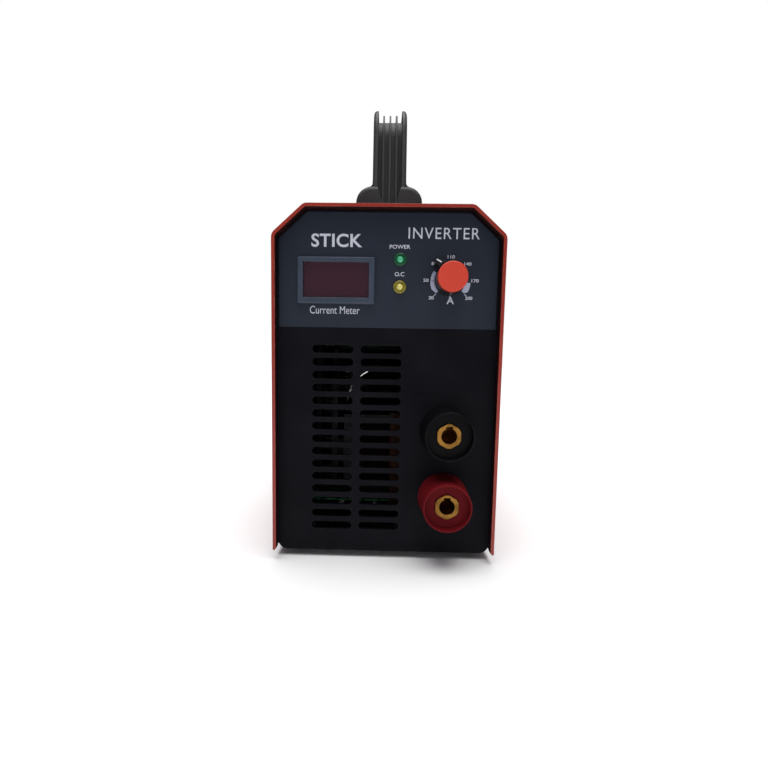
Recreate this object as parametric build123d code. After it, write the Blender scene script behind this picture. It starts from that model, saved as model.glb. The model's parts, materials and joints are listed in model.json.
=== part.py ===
"""Stick welding inverter: a sheet steel case with moulded end panels, a carrying handle, a current dial,
a digital meter, two twist-lock output sockets, a rear fan and the power electronics.

Millimetres. +X is to the right seen from the front, +Y runs from front to back, +Z is up.
The origin is on the floor, under the middle of the bounding box.
"""
from build123d import *
from math import atan2, degrees, hypot, sqrt
import os

# ---------------------------------------------------------------- driving dimensions
CASE_W = 142.4           # over the hood's sides
CASE_TOP = 223.6         # top of the hood above the floor
CHAMFER_W = 19.8         # the hood's sloping shoulders, across
CHAMFER_H = 17.9         # and down
BEND_R = 5.5             # outside radius of the hood's bends
SHEET = 1.2              # hood and tray sheet thickness
HEM = 0.9                # extra thickness of the hood's pressed hem along its front and rear edges
HEM_DEEP = 5.0
HOOD_BOTTOM = 6.5        # the hood's sides stop short of the panels' lower edge
BODY_LENGTH = 222.0      # from the front panel's face to the rear panel's face
FRONT_HANG = 6.0         # how far the hood stands out past the front panel
REAR_HANG = 6.0          # and past the rear panel
PANEL_Y = -BODY_LENGTH / 2
REAR_Y = BODY_LENGTH / 2
PANEL_BOTTOM = 4.8       # lower edge of both end panels
PANEL_T = 3.0            # face thickness of the end panels
PANEL_GAP = 0.7          # between a panel's edge and the hood's inside
PANEL_FLANGE = 12.0      # depth of the end panels' rims
PANEL_CORNER_R = 6.5
TRAY_Z = 8.0             # underside of the tray's floor
TRAY_FLANGE_TOP = 40.0
BOARD_Z = 22.0           # underside of the main circuit board
SHELF_Z = 142.0          # underside of the upper shelf
CABLE_BORE_R = 4.6       # mains cable entry

# control panel layout, in x and height above the floor
METER_X, METER_Z = -32.1, 179.0
LED_X = 7.5
POWER_LED_Z, OVERLOAD_LED_Z = 192.3, 175.6
DIAL_X, DIAL_Z = 38.1, 179.7
SOCKET_X = 38.2
NEGATIVE_Z, POSITIVE_Z = 85.5, 42.1
OVERLAY_BOTTOM = 150.2
METER_PROUD = 2.4
METER_WINDOW = (41.0, 21.8)

# ventilation slots in the front panel
SLOT_ROWS = 15
SLOT_L, SLOT_H = 26.0, 5.0
SLOT_PITCH = 8.22
SLOT_TOP_Z = 136.7       # middle of the top row
SLOT_COLUMNS = (-33.9, -3.3)

# sockets
COLLAR_R = 14.7
COLLAR_BASE_R = 16.1
COLLAR_OUT = 21.0
CUP_R, CUP_DEPTH = 13.8, 4.0
NECK_R = 11.8
NECK_BACK = 15.0         # how far the insulator reaches behind the panel's face
HEX_AF = 14.0
HEX_FRONT = COLLAR_OUT - 3.0
CONTACT_R = 6.0
CONTACT_BORE_R = 4.7
CONTACT_BACK = 30.0

# dial
CAP_R, KNOB_R = 8.9, 9.0
KNOB_TOP = 14.4
NOSE_R = 15.4            # reach of the knob's pointer
POINTER_REST = 36.0      # degrees anticlockwise from the top, where the dial stands at rest
SHAFT_R = 3.0
BOARD_BACK = 14.0        # the control board's front, behind the front panel's face

# pressed louvres in the hood's sides
LOUVRE_L = 28.0
LOUVRE_PITCH = 8.0

# handle
HANDLE_L = 208.0
HANDLE_W = 21.2
HANDLE_H = 75.0
HANDLE_Y = -2.0
FOOT_W, FOOT_L, FOOT_H = 41.6, 36.0, 15.0
CHANNEL_W, CHANNEL_DEEP = 15.4, 6.0

# fan
FAN_SIZE, FAN_DEPTH = 92.0, 25.0
FAN_PITCH = 82.5
FAN_Z = 78.5
FAN_BACK_Y = REAR_Y - PANEL_T
DUCT_R = 43.8
BLADE_R = 42.6
HUB_R = 17.0
BLADES = 7
BLADE_CHORD, BLADE_PITCH = 40.0, 26.0

# rear panel fittings, in x seen from behind and height above the floor
SWITCH_X, SWITCH_Z = -32.0, 178.0
GLAND_X, GLAND_Z = 32.0, 178.0
EARTH_X, EARTH_Z = 54.0, 24.0
EARTH_TIP_R = 2.5


# ---------------------------------------------------------------- helpers
FRONT = Pos(0, PANEL_Y, 0) * Rot(90, 0, 0)                  # local x, y, z: right, up, out of the front
REAR = Pos(0, REAR_Y, 0) * Rot(-90, 0, 0) * Rot(0, 0, 180)  # the same, seen from behind


def rod(r, low, high):
    """An upright cylinder from one height to another."""
    return Pos(0, 0, low) * Cylinder(r, high - low, align=(Align.CENTER, Align.CENTER, Align.MIN))


def block(x, y, z):
    """A box given its three (low, high) pairs."""
    size = [high - low for low, high in (x, y, z)]
    middle = [(high + low) / 2 for low, high in (x, y, z)]
    return Pos(*middle) * Box(*size)


def hexagon(across_flats, low, high, turn=0.0):
    """An upright hexagonal prism."""
    return Pos(0, 0, low) * extrude(RegularPolygon(across_flats / sqrt(3), 6, rotation=turn), high - low)


def screw(shank_r, length, head_r, head_h, drive_r=1.6):
    """A pan-head cross-recess screw: its head above z 0 and its shank below."""
    head = rod(head_r, 0, head_h)
    head = fillet(head.edges().sort_by(Axis.Z)[-1], head_h * 0.55)
    cross = block((-drive_r, drive_r), (-0.4, 0.4), (head_h - 1.0, head_h + 1))
    cross += Rot(0, 0, 90) * cross
    return head + rod(shank_r, -length, 0) - cross


def washer(inner, outer, low, high):
    return rod(outer, low, high) - rod(inner, low - 1, high + 1)


def group(shapes):
    """Separate solids kept together in one node."""
    solids = [solid for shape in shapes for solid in shape.solids()]
    return Compound(children=solids)


def mirror_pair(shape):
    return [shape, mirror(shape, Plane.YZ)]


def case_outline(inset, bottom):
    """The case's front outline: straight sides, sloping shoulders, a flat top."""
    half = CASE_W / 2
    outer = Polygon(
        (-half, bottom - inset), (half, bottom - inset), (half, CASE_TOP - CHAMFER_H),
        (half - CHAMFER_W, CASE_TOP), (-half + CHAMFER_W, CASE_TOP), (-half, CASE_TOP - CHAMFER_H),
        align=None)
    bends = outer.vertices().filter_by_position(Axis.Y, CASE_TOP - CHAMFER_H - 1, CASE_TOP + 1)
    outer = fillet(bends, BEND_R)
    return offset(outer, -inset) if inset else outer


def panel_outline(inset=0.0):
    """The end panels' outline, inside the hood, with rounded lower corners."""
    clear = SHEET + PANEL_GAP + inset
    shape = case_outline(clear, PANEL_BOTTOM + inset)
    low = shape.vertices().group_by(Axis.Y)[0]
    return fillet(low, PANEL_CORNER_R - inset)


# ---------------------------------------------------------------- case
def hood_screw_places():
    """(y, z) of the screws in each side of the hood."""
    return [(PANEL_Y + 7.5, 150.0), (REAR_Y - 7.5, 150.0), (-68.0, 26.0), (68.0, 26.0)]


def hood():
    length = BODY_LENGTH + FRONT_HANG + REAR_HANG
    sheet = case_outline(0, HOOD_BOTTOM) - case_outline(SHEET, HOOD_BOTTOM - 5)
    body = FRONT * Pos(0, 0, FRONT_HANG - length) * extrude(sheet, length)
    hem = case_outline(SHEET - 0.2, HOOD_BOTTOM + SHEET - 0.2) - case_outline(SHEET + HEM, HOOD_BOTTOM - 5)
    body += FRONT * Pos(0, 0, FRONT_HANG - HEM_DEEP) * extrude(hem, HEM_DEEP)
    body += REAR * Pos(0, 0, REAR_HANG - HEM_DEEP) * extrude(hem, HEM_DEEP)
    for y, z in hood_screw_places():
        body -= Pos(0, y, z) * Rot(0, 90, 0) * Cylinder(2.2, CASE_W + 10)
    for x, y in handle_screw_places():
        body -= Pos(x, y, CASE_TOP) * Cylinder(2.8, 10)
    cut, lip = louvre()
    for y, z in louvre_places():
        body -= mirror_pair(Pos(CASE_W / 2, y, z) * cut)
    for y, z in louvre_places():
        body += mirror_pair(Pos(CASE_W / 2, y, z) * lip)
    return body


def louvre_places():
    """(y, z) of the vent louvres in each side of the hood."""
    return [(52.0 + 36.0 * column, 46.0 + LOUVRE_PITCH * row) for row in range(8) for column in range(2)]


def louvre():
    """A slot and the pressed lip that overhangs it, at the right-hand side's outer face."""
    cut = block((-4, 4), (-LOUVRE_L / 2, LOUVRE_L / 2), (-1.6, 2.2))
    quarter = block((-SHEET, 4), (-LOUVRE_L, LOUVRE_L), (0, 4))
    lip = Pos(-1.1, 0, 0) * Rot(90, 0, 0) * (
        Cylinder(3.3, LOUVRE_L + 2.4) - Cylinder(2.1, LOUVRE_L)) & quarter
    return cut, lip


def base_tray():
    half = CASE_W / 2 - SHEET - 0.2
    ends = (PANEL_Y + PANEL_FLANGE + 0.6, REAR_Y - PANEL_FLANGE - 0.6)
    outer = block((-half, half), ends, (TRAY_Z, TRAY_FLANGE_TOP))
    outer = fillet(outer.edges().filter_by(Axis.Y).group_by(Axis.Z)[0], 2.4)
    inner = block((-half + SHEET, half - SHEET), (ends[0] - 1, ends[1] + 1), (TRAY_Z + SHEET, 60))
    inner = fillet(inner.edges().filter_by(Axis.Y).group_by(Axis.Z)[0], 1.2)
    tray = outer - inner
    # tongues that reach under the end panels' rims
    for sign, end in ((-1, ends[0]), (1, ends[1])):
        y = sorted((end - sign * 2, end + sign * (PANEL_FLANGE - 2.8)))
        tray += block((-52, 52), y, (TRAY_Z, TRAY_Z + SHEET))
    for y, z in hood_screw_places():
        if z < TRAY_FLANGE_TOP:
            tray -= Pos(0, y, z) * Rot(0, 90, 0) * Cylinder(1.7, CASE_W)
    for x, y in foot_places() + panel_screw_places() + board_places():
        tray -= Pos(x, y, TRAY_Z) * Cylinder(2.1, 6)
    for column in range(6):
        for row in range(3):
            tray -= Pos(-35 + column * 14, -30 + row * 26, TRAY_Z) * extrude(SlotOverall(20, 4, rotation=90), 4, both=True)
    return tray


def foot_places():
    return [(x, y) for x in (-50.0, 50.0) for y in (-86.0, 86.0)]


def rubber_feet():
    def one(x, y):
        pad = rod(9.0, 0, TRAY_Z)
        pad = chamfer(pad.edges().sort_by(Axis.Z)[0], 1.2)
        return Pos(x, y, 0) * (pad - rod(4.8, -1, 4.0) - rod(2.2, 0, 10))
    return group([one(x, y) for x, y in foot_places()])


def panel_screw_places():
    return [(x, sign * (BODY_LENGTH / 2 - 7.0)) for x in (-30.0, 30.0) for sign in (-1, 1)]


def base_screws():
    """Screws under the tray: through the feet, into the end panels and into the board's spacers."""
    foot = Pos(0, 0, 4.0) * Rot(180, 0, 0) * screw(1.9, 10.0, 4.0, 2.4)
    short = Pos(0, 0, TRAY_Z) * Rot(180, 0, 0) * screw(1.9, 8.0, 3.6, 1.8)
    places = [(x, y, foot) for x, y in foot_places()]
    places += [(x, y, short) for x, y in panel_screw_places() + board_places()]
    return group([Pos(x, y, 0) * one for x, y, one in places])


def hood_screws():
    one = Pos(CASE_W / 2, 0, 0) * Rot(0, 90, 0) * screw(1.6, 9.0, 3.6, 2.2)
    right = [Pos(0, y, z) * one for y, z in hood_screw_places()]
    return group([shape for side in right for shape in mirror_pair(side)])


def rimmed_panel():
    """The shell shared by both end panels, in the front panel's local frame: face, rim and screw bosses."""
    face = extrude(panel_outline(), -PANEL_T)
    face = fillet(face.faces().sort_by(Axis.Z)[-1].edges(), 1.0)
    rim = extrude(panel_outline() - panel_outline(2.2), -PANEL_FLANGE)
    body = face + rim
    half = CASE_W / 2 - SHEET - PANEL_GAP
    screw_y, screw_z = hood_screw_places()[0]
    for side in (-1, 1):
        boss = Pos(side * (half - 5.5), screw_z, -(screw_y - PANEL_Y)) * Rot(0, 90, 0) * Cylinder(4.2, 11)
        body += boss
        body -= Pos(side * half, screw_z, -(screw_y - PANEL_Y)) * Rot(0, 90, 0) * Cylinder(1.6, 21)
    # the tray's tongue lies in a step along the lower rim
    body -= block((-53, 53), (TRAY_Z - 0.1, TRAY_Z + SHEET + 0.1), (-PANEL_FLANGE - 1, -PANEL_T + 0.2))
    body -= block((-53, 53), (PANEL_BOTTOM - 1, TRAY_Z), (-PANEL_FLANGE - 1, -PANEL_T + 0.2))
    for x in (-30, 30):
        lug = block((x - 5, x + 5), (TRAY_Z + SHEET + 0.1, 18.2), (-PANEL_FLANGE, -PANEL_T + 0.1))
        body += lug
        body -= Pos(x, 10, -7.0) * Rot(90, 0, 0) * Cylinder(1.95, 14)
    return body


def front_panel():
    body = rimmed_panel()
    slot = extrude(SlotOverall(SLOT_L, SLOT_H), 10, both=True)
    for row in range(SLOT_ROWS):
        for x in SLOT_COLUMNS:
            body -= Pos(x, SLOT_TOP_Z - row * SLOT_PITCH, 0) * slot
    body -= Pos(METER_X, METER_Z, 0) * Box(45.2, 25.0, 20)
    for z in (POWER_LED_Z, OVERLOAD_LED_Z):
        body -= Pos(LED_X, z, 0) * Cylinder(2.9, 20)
    body -= Pos(DIAL_X, DIAL_Z, 0) * Cylinder(3.7, 20)
    for z in (NEGATIVE_Z, POSITIVE_Z):
        body -= Pos(SOCKET_X, z, 0) * Cylinder(NECK_R + 0.1, 20)
    body -= extrude(overlay_outline(0.15), -0.35)
    body -= Pos(26.8, 109.6, 0) * Box(12.4, 1.4, 0.8)   # a sunk bar above the negative socket
    return FRONT * body


def overlay_outline(grow=0.0):
    """The printed label fills the panel's upper part, close to its edge."""
    edge = 1.4 - grow
    label = panel_outline(edge) & Pos(0, (CASE_TOP + OVERLAY_BOTTOM - grow) / 2) * Rectangle(
        CASE_W, CASE_TOP - OVERLAY_BOTTOM + grow)
    return label


def control_overlay():
    sheet = extrude(overlay_outline(), 0.35)
    sheet -= Pos(METER_X, METER_Z, 0) * Box(45.2, 25.0, 4)
    for z in (POWER_LED_Z, OVERLOAD_LED_Z):
        sheet -= Pos(LED_X, z, 0) * Cylinder(2.9, 4)
    sheet -= Pos(DIAL_X, DIAL_Z, 0) * Cylinder(3.7, 4)
    return FRONT * Pos(0, 0, -0.3) * sheet


def rear_panel():
    body = rimmed_panel()
    body -= Pos(0, FAN_Z, 0) * Cylinder(DUCT_R + 0.4, 20)
    for x in (-1, 1):
        for z in (-1, 1):
            body -= Pos(x * FAN_PITCH / 2, FAN_Z + z * FAN_PITCH / 2, 0) * Cylinder(2.2, 20)
    body -= Pos(SWITCH_X, SWITCH_Z, 0) * Box(22.4, 28.4, 20)
    body -= Pos(GLAND_X, GLAND_Z, 0) * Cylinder(8.2, 20)
    body -= Pos(EARTH_X, EARTH_Z, 0) * Cylinder(3.2, 20)
    return REAR * body


# ---------------------------------------------------------------- handle
def handle_screw_places():
    """(x, y) of the screws that come up through the hood into the handle's feet."""
    reach = HANDLE_L / 2 - FOOT_L / 2
    return [(x, HANDLE_Y + sign * reach) for x in (-14.0, 14.0) for sign in (-1, 1)]


def handle_side(shrink=0.0):
    """The handle's outer outline seen from the side: (y, z) from the middle of its base."""
    half, lean = HANDLE_L / 2 - shrink, 8.0
    top = HANDLE_H - shrink
    outline = Polygon(
        (-half, -5), (half, -5), (half, 4), (half - lean, top - 3.5), (0, top), (-half + lean, top - 3.5),
        (-half, 4), align=None)
    corners = outline.vertices().filter_by_position(Axis.Y, top - 4, top - 3)
    outline = fillet(corners, 24 - shrink)
    crown = outline.vertices().filter_by_position(Axis.Y, top - 0.1, top + 0.1)
    return fillet(crown, 240)


def handle_gap():
    """The opening for the fingers, seen from the side."""
    half, rise = HANDLE_L / 2 - 20, HANDLE_H - 22
    gap = Polygon((-half, -5), (half, -5), (half - 5, rise - 2), (0, rise), (-half + 5, rise - 2), align=None)
    gap = fillet(gap.vertices().filter_by_position(Axis.Y, rise - 3, rise - 1), 13)
    return fillet(gap.vertices().filter_by_position(Axis.Y, rise - 0.1, rise + 0.1), 240)


def handle():
    side_plane = Plane(origin=(0, HANDLE_Y, CASE_TOP), x_dir=(0, 1, 0), z_dir=(1, 0, 0))
    above = Pos(0, HANDLE_Y, CASE_TOP + 50) * Box(100, HANDLE_L + 20, 100)
    strap = extrude(side_plane * (handle_side() - handle_gap()), HANDLE_W / 2, both=True) & above
    rails = [e for e in strap.edges()
             if abs(abs(e.center().X) - HANDLE_W / 2) < 0.01 and e.center().Z > CASE_TOP + 3]
    body = fillet(rails, 2.2)

    shoulders = Pos(0, FOOT_H / 2) * Rectangle(FOOT_W, FOOT_H)
    shoulders = fillet(shoulders.vertices().group_by(Axis.Y)[-1], 9.5)
    neck = Polygon(
        (-HANDLE_W / 2 - 3, 0), (HANDLE_W / 2 + 3, 0), (HANDLE_W / 2 + 3, FOOT_H), (HANDLE_W / 2, FOOT_H),
        (HANDLE_W / 2, FOOT_H + 4), (-HANDLE_W / 2, FOOT_H + 4), (-HANDLE_W / 2, FOOT_H),
        (-HANDLE_W / 2 - 3, FOOT_H), align=None)
    corners = [v for v in neck.vertices() if abs(v.Y - FOOT_H) < 0.1 and abs(v.X) < HANDLE_W / 2 + 1]
    neck = fillet(corners, 2.6)
    for sign in (-1, 1):
        end = HANDLE_Y + sign * (HANDLE_L / 2 - FOOT_L / 2)
        foot = Pos(0, end + FOOT_L / 2, CASE_TOP) * Rot(90, 0, 0) * extrude(shoulders, FOOT_L)
        body += fillet(foot.edges().filter_by(Axis.Z), 3)
        leg = HANDLE_Y + sign * (HANDLE_L / 2 - 10.5)
        body += Pos(0, leg + 8, CASE_TOP) * Rot(90, 0, 0) * extrude(neck, 16)

    # the grip's outer face is a channel with three ribs, ending in a rounded pocket at each foot
    band = side_plane * (handle_side(-2) - handle_side(CHANNEL_DEEP))
    groove = extrude(band, CHANNEL_W / 2, both=True)
    half = CHANNEL_W / 2
    pocket = Polygon(
        (-half, 110), (-half, 15.5), (-half + 3.2, 4.6), (half - 3.2, 4.6), (half, 15.5), (half, 110), align=None)
    pocket = fillet(pocket.vertices().filter_by_position(Axis.Y, 4, 5), 1.6)
    groove &= Pos(0, HANDLE_Y + 150, CASE_TOP) * Rot(90, 0, 0) * extrude(pocket, 300)
    rib = extrude(side_plane * handle_side(2.4), 0.55, both=True)
    for x in (-1, 0, 1):
        groove -= Pos(x * CHANNEL_W * 0.27, 0, 0) * rib
    body -= groove
    for x, y in handle_screw_places():
        body -= Pos(x, y, CASE_TOP) * Cylinder(2.0, 24)
    return body


def handle_screws():
    under = CASE_TOP - SHEET
    one = Pos(0, 0, under) * Rot(180, 0, 0) * screw(2.0, 12.0, 5.2, 2.8)
    return group([Pos(x, y, 0) * one for x, y in handle_screw_places()])


# ---------------------------------------------------------------- meter and lamps
def at_meter(shape):
    return FRONT * Pos(METER_X, METER_Z, 0) * shape


def meter_bezel():
    flange = Pos(0, 0, 0.05) * extrude(RectangleRounded(48.0, 28.4, 1.2), METER_PROUD)
    flange = chamfer(flange.faces().sort_by(Axis.Z)[-1].edges(), 0.6)
    shell = Pos(0, 0, -18.0) * extrude(Rectangle(44.8, 24.6), 18.1)
    body = flange + shell
    body -= Pos(0, 0, -19.0) * extrude(Rectangle(43.4, 23.4), 19.4)
    window = Pos(0, 0.3, 0) * extrude(Rectangle(*METER_WINDOW), 10)
    body -= window
    for side in (-1, 1):
        body += Pos(side * 22.4, 0, -6.0) * Rot(0, side * 9, 0) * Box(1.2, 8.0, 5.0)
    return at_meter(body)


def meter_lens():
    return at_meter(Pos(0, 0, -0.8) * extrude(Rectangle(43.2, 23.2), 1.2))


def meter_module():
    """Three seven-segment digits in one block, standing on the meter's board."""
    body = Pos(0, 0, -6.4) * extrude(Rectangle(37.6, 19.0), 5.4)
    body += Pos(0, 0, -8.0) * extrude(Rectangle(43.0, 23.0), 1.7)
    for place in (-12.4, 0, 12.4):
        for z in (-5.6, 5.6):
            for x in (-3.4, 3.4):
                body -= Pos(place + x, z, -1.0) * Box(1.5, 7.6, 0.4)
        for z in (-7.6, 0, 7.6):
            body -= Pos(place, z, -1.0) * Box(5.0, 1.5, 0.4)
    return at_meter(body)


def lamp():
    """A 5 mm lamp with its flange and two legs down to the control board."""
    body = rod(2.5, -5.1, -0.6) + Pos(0, 0, -0.6) * Sphere(2.5) + rod(2.85, -6.0, -5.0)
    for x in (-1.27, 1.27):
        body += Pos(x, 0, 0) * rod(0.3, -BOARD_BACK, -5.9)
    return body


def led_power():
    return FRONT * Pos(LED_X, POWER_LED_Z, 0) * lamp()


def led_overload():
    return FRONT * Pos(LED_X, OVERLOAD_LED_Z, 0) * lamp()


def lamp_ring(z):
    """The tinted ring that holds a lamp in the panel."""
    ring = rod(4.0, 0.05, 1.2)
    ring = fillet(ring.edges().sort_by(Axis.Z)[-1], 0.7)
    ring += rod(2.88, -4.8, 0.3)
    ring -= rod(2.52, -6, 3)
    return FRONT * Pos(LED_X, z, 0) * ring


def ring_power():
    return lamp_ring(POWER_LED_Z)


def ring_overload():
    return lamp_ring(OVERLOAD_LED_Z)


# ---------------------------------------------------------------- current dial
def at_dial(shape, turn=0.0):
    return FRONT * Pos(DIAL_X, DIAL_Z, 0) * Rot(0, 0, turn) * shape


def potentiometer():
    body = rod(8.4, -BOARD_BACK, -PANEL_T) + rod(3.5, -PANEL_T - 0.1, 3.6)
    body += Pos(0, -9.5, -BOARD_BACK) * extrude(Rectangle(12, 5), 2.4)
    body -= rod(7.2, -BOARD_BACK + 1.2, -PANEL_T - 1.5)
    body -= rod(SHAFT_R + 0.06, -6, 4)
    return at_dial(body)


def dial_shaft():
    shaft = rod(SHAFT_R, -9.0, 10.8) + rod(6.6, -9.0, -7.6)
    flat = block((SHAFT_R - 1.2, SHAFT_R + 1), (-4, 4), (4.4, 12))
    return at_dial(shaft - flat, POINTER_REST)


def dial_nut():
    return at_dial(hexagon(10.0, 0.05, 2.2) - rod(3.5, -1, 4))


def dial_knob():
    body = rod(KNOB_R, 0.6, 11.4)
    body = fillet(body.edges().sort_by(Axis.Z)[-1], 0.8)
    skirt = rod(KNOB_R + 0.3, 0.6, 3.4)
    body += chamfer(skirt.edges().sort_by(Axis.Z)[-1], 0.4)
    # a pointer that slopes down from the cap's edge to the skirt
    side = Polygon((6, 0.6), (NOSE_R, 0.6), (NOSE_R, 3.4), (10.2, 10.6), (6, 10.6), align=None)
    nose = extrude(Plane.YZ * side, 3.0, both=True)
    plan = Polygon((-3.0, 6), (3.0, 6), (1.5, NOSE_R + 1), (-1.5, NOSE_R + 1), align=None)
    body += nose & extrude(plan, 12)
    body -= rod(7.4, 0, 3.6)
    core = rod(SHAFT_R + 0.02, 3, 10.8)
    core -= block((SHAFT_R - 1.18, SHAFT_R + 1), (-4, 4), (4.4, 12))
    body -= core
    # a seat for the coloured cap
    body -= rod(CAP_R - 1.2, 10.8, 12)
    return at_dial(body, POINTER_REST)


def dial_cap():
    """The coloured cap's rim overhangs the seat it is pressed into."""
    cap = rod(CAP_R, 11.4, KNOB_TOP)
    cap = fillet(cap.edges().sort_by(Axis.Z)[-1], 0.7)
    cap += rod(CAP_R - 1.2, 10.8, 11.5)
    return at_dial(cap, POINTER_REST)


# ---------------------------------------------------------------- output sockets
def at_socket(shape, z):
    return FRONT * Pos(SOCKET_X, z, 0) * shape


def socket_insulator(z):
    body = Cone(COLLAR_BASE_R, COLLAR_R, COLLAR_OUT, align=(Align.CENTER, Align.CENTER, Align.MIN))
    body = fillet(body.edges().sort_by(Axis.Z)[-1], 0.4)
    body += rod(NECK_R, -NECK_BACK, 0.1)
    body -= rod(CUP_R, COLLAR_OUT - CUP_DEPTH, COLLAR_OUT + 1)
    body -= hexagon(HEX_AF + 0.1, 11.0, COLLAR_OUT, 30)
    body -= rod(CONTACT_R + 0.05, -NECK_BACK - 1, 12)
    return at_socket(body, z)


def socket_contact(z):
    """A brass sleeve with a hexagonal head, a bore for the plug and a groove for its lug."""
    head = hexagon(HEX_AF, 11.05, HEX_FRONT, 30)
    head &= Pos(0, 0, 11.05) * Cone(9.6, 7.4, HEX_FRONT - 11.05, align=(Align.CENTER, Align.CENTER, Align.MIN))
    body = head + rod(CONTACT_R, -CONTACT_BACK, 11.1)
    body -= rod(CONTACT_BORE_R, -12.0, HEX_FRONT + 1)
    body -= block((-2.0, 2.0), (0, CONTACT_BORE_R + 1.1), (2.0, HEX_FRONT + 1))
    body -= rod(3.0, -CONTACT_BACK - 1, -18.0)
    return at_socket(body, z)


def socket_nuts():
    one = hexagon(30.0, -10.0, -PANEL_T - 0.05) - rod(NECK_R + 0.05, -11, 0)
    return group([at_socket(one, z) for z in (NEGATIVE_Z, POSITIVE_Z)])


def bus_bar(z, tail_x):
    """A flat copper bar from a socket's bolt, down and back to a bolt on the main board."""
    front_y = PANEL_Y + CONTACT_BACK
    cross = block((min(tail_x, SOCKET_X) - 6, SOCKET_X + 7), (front_y, front_y + 3), (z - 7, z + 7))
    drop = block((tail_x - 6, tail_x + 6), (front_y, front_y + 3), (BOARD_TOP, z + 7))
    tail = block((tail_x - 6, tail_x + 6), (front_y, TERMINAL_Y + 7), (BOARD_TOP, BOARD_TOP + 3))
    bar = cross + drop + tail
    bar -= Pos(SOCKET_X, front_y, z) * Rot(90, 0, 0) * Cylinder(3.05, 12)
    bar -= Pos(tail_x, TERMINAL_Y, BOARD_TOP) * Cylinder(3.05, 12)
    return bar


def terminal_bolts():
    """Bolts that hold the bus bars to the sockets and to the main board."""
    bolt = hexagon(10.0, 0, 4.0) + rod(2.95, -12.0, 0.1)
    at_sockets = [at_socket(Pos(0, 0, -CONTACT_BACK - 3.0) * Rot(180, 0, 0) * bolt, z)
                  for z in (NEGATIVE_Z, POSITIVE_Z)]
    on_board = [Pos(x, TERMINAL_Y, BOARD_TOP + 3.0) * bolt for x in (NEGATIVE_TAIL_X, SOCKET_X)]
    return group(at_sockets + on_board)


# ---------------------------------------------------------------- power electronics
BOARD_T = 1.6
BOARD_TOP = BOARD_Z + BOARD_T
BOARD_X = 60.0
BOARD_Y = (-66.0, 78.0)
SHELF_Y = (-42.0, 78.0)
TERMINAL_Y = -58.0
NEGATIVE_TAIL_X = 10.0
SINK_X = (40.0, 60.0)
SINK_Y = (-28.0, 66.0)
SINK_TOP = 112.0
DEVICE_Y = (-14.0, 8.0, 30.0, 52.0)


def board_places():
    return [(x, y) for x in (-54.0, 54.0) for y in (-60.0, -36.0, 73.0)]


def shelf_places():
    return [(x, y) for x, y in board_places() if y > -50]


def main_board():
    body = block((-BOARD_X, BOARD_X), BOARD_Y, (BOARD_Z, BOARD_TOP))
    body = fillet(body.edges().filter_by(Axis.Z), 2)
    for x, y in board_places():
        body -= Pos(x, y, BOARD_Z) * Cylinder(1.9, 6)
    for x in (NEGATIVE_TAIL_X, SOCKET_X):
        body -= Pos(x, TERMINAL_Y, BOARD_Z) * Cylinder(3.1, 6)
    return body


def board_spacers():
    """Hollow spacers under the main board and tall ones from it up to the shelf board."""
    low = hexagon(7.0, TRAY_Z + SHEET, BOARD_Z) - rod(1.95, 0, 40)
    tall = hexagon(7.0, BOARD_TOP, SHELF_Z) - rod(1.6, SHELF_Z - 10, SHELF_Z + 1)
    return group([Pos(x, y, 0) * low for x, y in board_places()] + [Pos(x, y, 0) * tall for x, y in shelf_places()])


def shelf_board():
    body = block((-BOARD_X, BOARD_X), SHELF_Y, (SHELF_Z, SHELF_Z + BOARD_T))
    body = fillet(body.edges().filter_by(Axis.Z), 2)
    for x, y in shelf_places():
        body -= Pos(x, y, SHELF_Z) * Cylinder(1.6, 6)
    return body


def heatsink(side):
    """An extruded aluminium heatsink: a thick inner plate with fins towards the case's side."""
    plate = block((SINK_X[0], SINK_X[0] + 5), SINK_Y, (BOARD_TOP, SINK_TOP))
    fins = [block((SINK_X[0] + 4.5, SINK_X[1]), SINK_Y, (z, z + 1.6))
            for z in [BOARD_TOP + 6.0 + 8.0 * i for i in range(11)]]
    body = plate + fins
    return body if side > 0 else mirror(body, Plane.YZ)


def flat_package(y, z):
    """A flat power device with its metal tab against the right-hand heatsink and three legs down."""
    body = block((SINK_X[0] - 5.2, SINK_X[0]), (y - 8, y + 8), (z, z + 21))
    body -= Pos(SINK_X[0] - 5.2, y, z + 16) * Rot(0, 90, 0) * Cylinder(2.0, 12)
    for leg in (-5.4, 0, 5.4):
        body += block((SINK_X[0] - 3.2, SINK_X[0] - 2.6), (y + leg - 0.6, y + leg + 0.6), (BOARD_TOP, z + 0.1))
    return body


def power_devices():
    """Output diodes on the right-hand heatsink and switching transistors on the left-hand one."""
    return group([shape for y in DEVICE_Y for shape in mirror_pair(flat_package(y, 40.0))])


def small_screws():
    """M3 screws: through the power devices' tabs, and down through the shelf board."""
    at_sink = Pos(SINK_X[0] - 5.2, 0, 56.0) * Rot(0, -90, 0) * screw(1.5, 5.2, 2.9, 1.8, 1.2)
    at_shelf = Pos(0, 0, SHELF_Z + BOARD_T) * screw(1.5, 8.0, 2.9, 1.8, 1.2)
    screws = [shape for y in DEVICE_Y for shape in mirror_pair(Pos(0, y, 0) * at_sink)]
    return group(screws + [Pos(x, y, 0) * at_shelf for x, y in shelf_places()])


def ferrite_core(x, y, width, depth, height, leg):
    """A pair of E cores closed on each other, standing on the main board."""
    body = block((x - width / 2, x + width / 2), (y - depth / 2, y + depth / 2), (BOARD_TOP, BOARD_TOP + height))
    window = (width - 2 * leg - 1.6 * leg) / 2
    for side in (-1, 1):
        middle = x + side * (0.8 * leg + window / 2)
        body -= Pos(middle, y, BOARD_TOP + height / 2) * Box(window, depth + 2, height - 2 * leg)
    return body


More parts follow.
